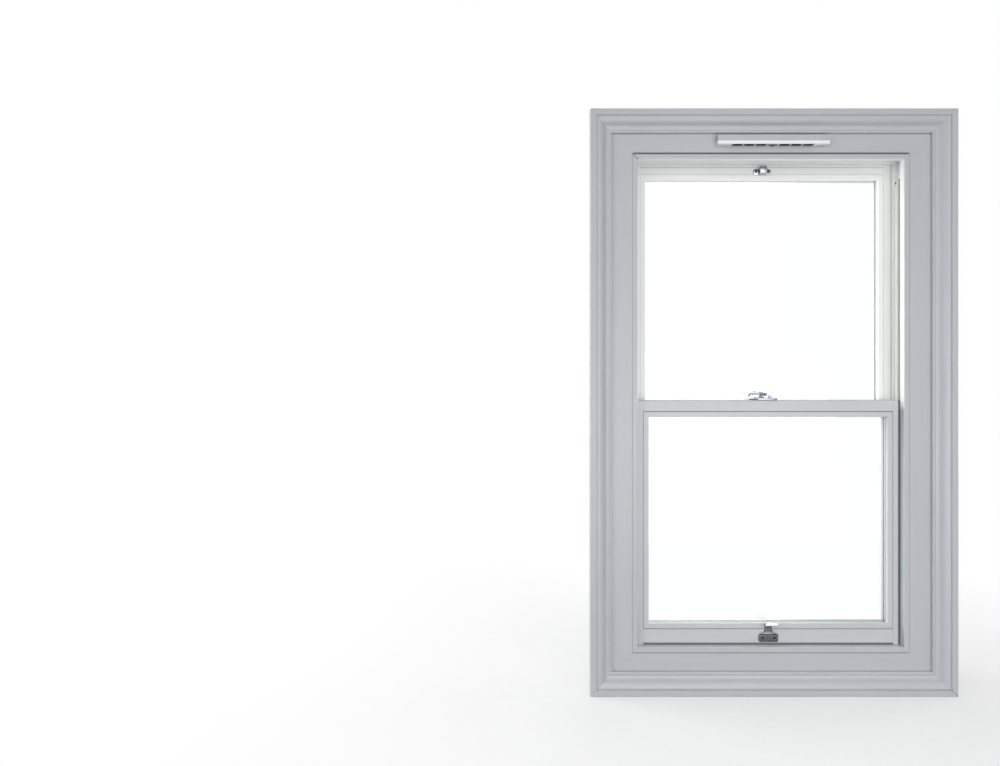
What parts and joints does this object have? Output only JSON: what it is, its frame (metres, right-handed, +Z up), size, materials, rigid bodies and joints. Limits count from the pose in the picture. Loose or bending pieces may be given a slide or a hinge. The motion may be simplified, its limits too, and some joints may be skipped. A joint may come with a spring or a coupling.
{
  "type": "sash window",
  "caption": "Double-hung timber sash window with moulded architrave, linings, staff beads, trickle vent, spiral balances, and chrome fastener, lift and pull; both sashes slide.",
  "frame": {"origin": "centre of the sill's underside", "axes": "+Z up, +X to the right seen from the room, +Y towards the outdoors"},
  "size_m": [0.931, 0.2, 1.488],
  "materials": {
    "frame_paint": "white satin paint on softwood",
    "sash_paint": "white satin paint on softwood",
    "sill_paint": "white satin paint on hardwood",
    "glass": "clear float glass",
    "spacer_metal": "mill finish",
    "setting_plastic": "matt",
    "tube_plastic": "satin white",
    "bush_nylon": "natural nylon",
    "bright_steel": "zinc plated",
    "chrome": "polished chrome plate",
    "vent_plastic": "satin white",
    "shutter_plastic": "satin grey"
  },
  "bodies": {
    "frame": {"architrave_bottom": "frame_paint", "architrave_left": "frame_paint", "architrave_right": "frame_paint", "architrave_top": "frame_paint", "balance_screws": "bright_steel", "balance_tubes": "tube_plastic", "head": "frame_paint", "jamb_left": "frame_paint", "jamb_right": "frame_paint", "lining_bottom": "frame_paint", "lining_left": "frame_paint", "lining_right": "frame_paint", "lining_top": "frame_paint", "parting_bead_left": "frame_paint", "parting_bead_right": "frame_paint", "parting_bead_top": "frame_paint", "sill": "sill_paint", "staff_bead_bottom": "frame_paint", "staff_bead_left": "frame_paint", "staff_bead_right": "frame_paint", "staff_bead_top": "frame_paint", "vent_canopy": "vent_plastic", "vent_cover": "vent_plastic"},
    "lower_sash": {"lower_balance_rods": "bright_steel", "lower_bottom_rail": "sash_paint", "lower_glazing_bead_bottom": "sash_paint", "lower_glazing_bead_left": "sash_paint", "lower_glazing_bead_right": "sash_paint", "lower_glazing_bead_top": "sash_paint", "lower_meeting_rail": "sash_paint", "lower_pane_inner": "glass", "lower_pane_outer": "glass", "lower_sash_screws": "chrome", "lower_setting_blocks": "setting_plastic", "lower_spacer_bars": "spacer_metal", "lower_stile_left": "sash_paint", "lower_stile_right": "sash_paint", "fastener_base": "chrome", "hook_lift": "chrome"},
    "upper_sash": {"upper_balance_rods": "bright_steel", "upper_glazing_bead_left": "sash_paint", "upper_glazing_bead_right": "sash_paint", "upper_glazing_bead_top": "sash_paint", "upper_meeting_rail": "sash_paint", "upper_pane_inner": "glass", "upper_pane_outer": "glass", "upper_sash_screws": "chrome", "upper_setting_blocks": "setting_plastic", "upper_spacer_bars": "spacer_metal", "upper_stile_left": "sash_paint", "upper_stile_right": "sash_paint", "upper_top_rail": "sash_paint", "fastener_keeper": "chrome", "sash_pull": "chrome"},
    "fastener_lever": {"fastener_lever": "chrome"},
    "vent_slider": {"vent_slider": "shutter_plastic"},
    "lower_balance_bush_left": {"lower_balance_bush_left": "bush_nylon"},
    "lower_balance_bush_right": {"lower_balance_bush_right": "bush_nylon"},
    "upper_balance_bush_left": {"upper_balance_bush_left": "bush_nylon"},
    "upper_balance_bush_right": {"upper_balance_bush_right": "bush_nylon"}
  },
  "joints": [
    {"name": "lower_sash_slide", "type": "slide", "parent": "frame", "child": "lower_sash", "axis": [0, 0, 1], "range_m": [0, 0.563]},
    {"name": "upper_sash_slide", "type": "slide", "parent": "frame", "child": "upper_sash", "axis": [0, 0, -1], "range_m": [0, 0.515]},
    {"name": "fastener_turn", "type": "hinge", "parent": "lower_sash", "child": "fastener_lever", "pos_m": [-0.011, -0.0575, 0.7325], "axis": [0, 0, -1], "range_deg": [0, 90]},
    {"name": "vent_slide", "type": "slide", "parent": "frame", "child": "vent_slider", "axis": [1, 0, 0], "range_m": [-0.008, 0.008]},
    {"name": "lower_bush_left_spin", "type": "hinge", "parent": "frame", "child": "lower_balance_bush_left", "pos_m": [-0.3465, -0.0575, 0.664], "axis": [0, 0, -1], "range_deg": [0, 1448.71]},
    {"name": "lower_bush_right_spin", "type": "hinge", "parent": "frame", "child": "lower_balance_bush_right", "pos_m": [0.3465, -0.0575, 0.664], "axis": [0, 0, -1], "range_deg": [0, 1448.71]},
    {"name": "upper_bush_left_spin", "type": "hinge", "parent": "frame", "child": "upper_balance_bush_left", "pos_m": [-0.3465, -0.0095, 0.704], "axis": [0, 0, 1], "range_deg": [0, 1325.29]},
    {"name": "upper_bush_right_spin", "type": "hinge", "parent": "frame", "child": "upper_balance_bush_right", "pos_m": [0.3465, -0.0095, 0.704], "axis": [0, 0, 1], "range_deg": [0, 1325.29]}
  ],
  "couplings": [
    {"joint": "lower_bush_left_spin", "follows": "lower_sash_slide", "rad_per_m": 44.88},
    {"joint": "lower_bush_right_spin", "follows": "lower_sash_slide", "rad_per_m": 44.88},
    {"joint": "upper_bush_left_spin", "follows": "upper_sash_slide", "rad_per_m": 44.88},
    {"joint": "upper_bush_right_spin", "follows": "upper_sash_slide", "rad_per_m": 44.88}
  ]
}
